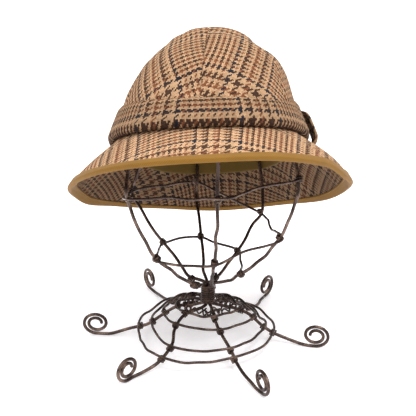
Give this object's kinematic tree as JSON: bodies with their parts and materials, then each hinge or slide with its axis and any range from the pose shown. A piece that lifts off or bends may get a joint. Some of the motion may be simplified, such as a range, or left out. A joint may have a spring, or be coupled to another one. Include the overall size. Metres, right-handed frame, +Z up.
{
  "type": "tweed brimmed hat on a wire stand",
  "caption": "Soft checked tweed hat with a gored crown, banded foot and drooping bound brim, resting on a head-shaped dark wire stand with curled feet.",
  "frame": {"origin": "middle of the floor plane under the whole, hat and stand together", "axes": "+Z up, the hat's front and the stand's two front feet towards -Y, the wearer's left and the side tab towards +X"},
  "size_m": [0.2526, 0.261, 0.2878],
  "materials": {
    "tweed": "brushed wool tweed in a brown and tan check with dark blue overcheck lines",
    "binding": "mustard cotton twill strip, stitched",
    "sweatband": "khaki cotton twill",
    "wire": "dark bronze coated wire with a soft shine"
  },
  "bodies": {
    "root": {"crown_panel_1": "tweed", "crown_panel_2": "tweed", "crown_panel_3": "tweed", "crown_panel_4": "tweed", "crown_panel_5": "tweed", "crown_panel_6": "tweed", "brim_top": "tweed", "brim_under": "tweed", "band": "tweed", "side_tab": "tweed", "binding": "binding", "sweatband": "sweatband", "leg_wire_front_right": "wire", "leg_wire_front_left": "wire", "leg_wire_left": "wire", "leg_wire_back_left": "wire", "leg_wire_back_right": "wire", "leg_wire_right": "wire", "rib_wire_front": "wire", "rib_wire_front_left": "wire", "rib_wire_back_left": "wire", "rib_wire_back": "wire", "rib_wire_back_right": "wire", "rib_wire_front_right": "wire", "web_ring_1": "wire", "web_ring_2": "wire", "web_ring_3": "wire", "web_ring_4": "wire", "cage_wire": "wire", "coil_wrap": "wire"}
  },
  "joints": []
}
